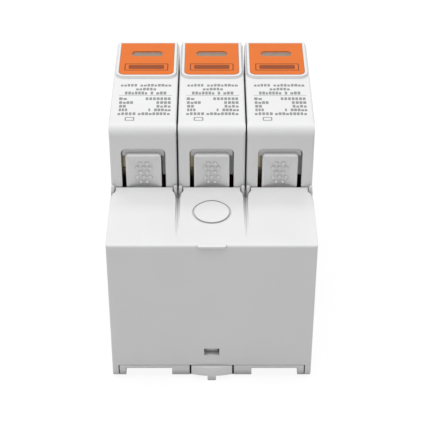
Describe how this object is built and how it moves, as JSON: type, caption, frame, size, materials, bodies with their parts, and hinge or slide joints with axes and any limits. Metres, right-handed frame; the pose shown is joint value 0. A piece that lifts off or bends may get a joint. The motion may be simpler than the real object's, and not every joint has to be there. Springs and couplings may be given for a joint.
{
  "type": "din rail surge arrester",
  "caption": "Three-pole plug-in surge arrester: stepped base for a 35 mm rail with plug-in units, labels, status windows and release tabs.",
  "frame": {"origin": "middle of the rail's front face, where the rail seat lies on it", "axes": "+X across the poles along the rail, +Y towards the terminals, +Z out from the rail"},
  "size_m": [0.054, 0.091, 0.0674],
  "materials": {
    "base_plastic": "fine satin moulding",
    "unit_plastic": "fine satin moulding",
    "label_print": "smooth, flush with its field",
    "window_plastic": "smooth",
    "varistor_coat": "dipped coat",
    "blade_brass": "rolled",
    "bronze": "rolled",
    "copper": "rolled",
    "plated_steel": "zinc plated",
    "spring_steel": "drawn wire",
    "flag_plastic": "moulded"
  },
  "bodies": {
    "base": {"base_housing": "base_plastic", "base_tray": "base_plastic", "common_bus": "copper", "line_contact_1": "copper", "line_contact_2": "copper", "line_contact_3": "copper", "clip_spring": "spring_steel"},
    "rail_clip": {"rail_clip": "base_plastic"},
    "screw_1": {"terminal_screw_1": "plated_steel"},
    "cage_1": {"terminal_cage_1": "plated_steel"},
    "screw_2": {"terminal_screw_2": "plated_steel"},
    "cage_2": {"terminal_cage_2": "plated_steel"},
    "screw_3": {"terminal_screw_3": "plated_steel"},
    "cage_3": {"terminal_cage_3": "plated_steel"},
    "unit_1": {"case_1": "unit_plastic", "case_bottom_1": "unit_plastic", "label_1": "label_print", "window_1": "window_plastic", "varistor_1": "varistor_coat", "near_blade_1": "blade_brass", "far_blade_1": "blade_brass", "thermal_arm_1": "bronze", "flag_spring_1": "spring_steel"},
    "flag_1": {"flag_1": "flag_plastic"},
    "near_latch_1": {"near_latch_1": "unit_plastic"},
    "far_latch_1": {"far_latch_1": "unit_plastic"},
    "unit_2": {"case_2": "unit_plastic", "case_bottom_2": "unit_plastic", "label_2": "label_print", "window_2": "window_plastic", "varistor_2": "varistor_coat", "near_blade_2": "blade_brass", "far_blade_2": "blade_brass", "thermal_arm_2": "bronze", "flag_spring_2": "spring_steel"},
    "flag_2": {"flag_2": "flag_plastic"},
    "near_latch_2": {"near_latch_2": "unit_plastic"},
    "far_latch_2": {"far_latch_2": "unit_plastic"},
    "unit_3": {"case_3": "unit_plastic", "case_bottom_3": "unit_plastic", "label_3": "label_print", "window_3": "window_plastic", "varistor_3": "varistor_coat", "near_blade_3": "blade_brass", "far_blade_3": "blade_brass", "thermal_arm_3": "bronze", "flag_spring_3": "spring_steel"},
    "flag_3": {"flag_3": "flag_plastic"},
    "near_latch_3": {"near_latch_3": "unit_plastic"},
    "far_latch_3": {"far_latch_3": "unit_plastic"}
  },
  "joints": [
    {"name": "clip_slide", "type": "slide", "parent": "base", "child": "rail_clip", "axis": [0, -1, 0], "range_m": [0, 0.0035], "stiffness_N_per_m": 400, "deforming": ["clip_spring"]},
    {"name": "screw_turn_1", "type": "hinge", "parent": "base", "child": "screw_1", "pos_m": [-0.018, 0.03097, 0.03], "axis": [0, 0, -1], "range_deg": [0, 2880]},
    {"name": "cage_lift_1", "type": "slide", "parent": "base", "child": "cage_1", "axis": [0, 0, 1], "range_m": [0, 0.0064]},
    {"name": "screw_turn_2", "type": "hinge", "parent": "base", "child": "screw_2", "pos_m": [0, 0.03097, 0.03], "axis": [0, 0, -1], "range_deg": [0, 2880]},
    {"name": "cage_lift_2", "type": "slide", "parent": "base", "child": "cage_2", "axis": [0, 0, 1], "range_m": [0, 0.0064]},
    {"name": "screw_turn_3", "type": "hinge", "parent": "base", "child": "screw_3", "pos_m": [0.018, 0.03097, 0.03], "axis": [0, 0, -1], "range_deg": [0, 2880]},
    {"name": "cage_lift_3", "type": "slide", "parent": "base", "child": "cage_3", "axis": [0, 0, 1], "range_m": [0, 0.0064]},
    {"name": "unit_pull_1", "type": "slide", "parent": "base", "child": "unit_1", "axis": [0, 0, 1], "range_m": [0, 0.04]},
    {"name": "flag_trip_1", "type": "slide", "parent": "unit_1", "child": "flag_1", "axis": [0, -1, 0], "range_m": [0, 0.0036], "deforming": ["flag_spring_1"]},
    {"name": "near_press_1", "type": "hinge", "parent": "unit_1", "child": "near_latch_1", "pos_m": [-0.018, -0.0212, 0.0514], "axis": [1, 0, 0], "range_deg": [0, 5], "stiffness_Nm_per_rad": 0.1},
    {"name": "far_press_1", "type": "hinge", "parent": "unit_1", "child": "far_latch_1", "pos_m": [-0.018, 0.0212, 0.0514], "axis": [-1, 0, 0], "range_deg": [0, 5], "stiffness_Nm_per_rad": 0.1},
    {"name": "unit_pull_2", "type": "slide", "parent": "base", "child": "unit_2", "axis": [0, 0, 1], "range_m": [0, 0.04]},
    {"name": "flag_trip_2", "type": "slide", "parent": "unit_2", "child": "flag_2", "axis": [0, -1, 0], "range_m": [0, 0.0036], "deforming": ["flag_spring_2"]},
    {"name": "near_press_2", "type": "hinge", "parent": "unit_2", "child": "near_latch_2", "pos_m": [0, -0.0212, 0.0514], "axis": [1, 0, 0], "range_deg": [0, 5], "stiffness_Nm_per_rad": 0.1},
    {"name": "far_press_2", "type": "hinge", "parent": "unit_2", "child": "far_latch_2", "pos_m": [0, 0.0212, 0.0514], "axis": [-1, 0, 0], "range_deg": [0, 5], "stiffness_Nm_per_rad": 0.1},
    {"name": "unit_pull_3", "type": "slide", "parent": "base", "child": "unit_3", "axis": [0, 0, 1], "range_m": [0, 0.04]},
    {"name": "flag_trip_3", "type": "slide", "parent": "unit_3", "child": "flag_3", "axis": [0, -1, 0], "range_m": [0, 0.0036], "deforming": ["flag_spring_3"]},
    {"name": "near_press_3", "type": "hinge", "parent": "unit_3", "child": "near_latch_3", "pos_m": [0.018, -0.0212, 0.0514], "axis": [1, 0, 0], "range_deg": [0, 5], "stiffness_Nm_per_rad": 0.1},
    {"name": "far_press_3", "type": "hinge", "parent": "unit_3", "child": "far_latch_3", "pos_m": [0.018, 0.0212, 0.0514], "axis": [-1, 0, 0], "range_deg": [0, 5], "stiffness_Nm_per_rad": 0.1}
  ],
  "couplings": [
    {"joint": "screw_turn_1", "follows": "cage_lift_1", "rad_per_m": 7854},
    {"joint": "screw_turn_2", "follows": "cage_lift_2", "rad_per_m": 7854},
    {"joint": "screw_turn_3", "follows": "cage_lift_3", "rad_per_m": 7854}
  ]
}
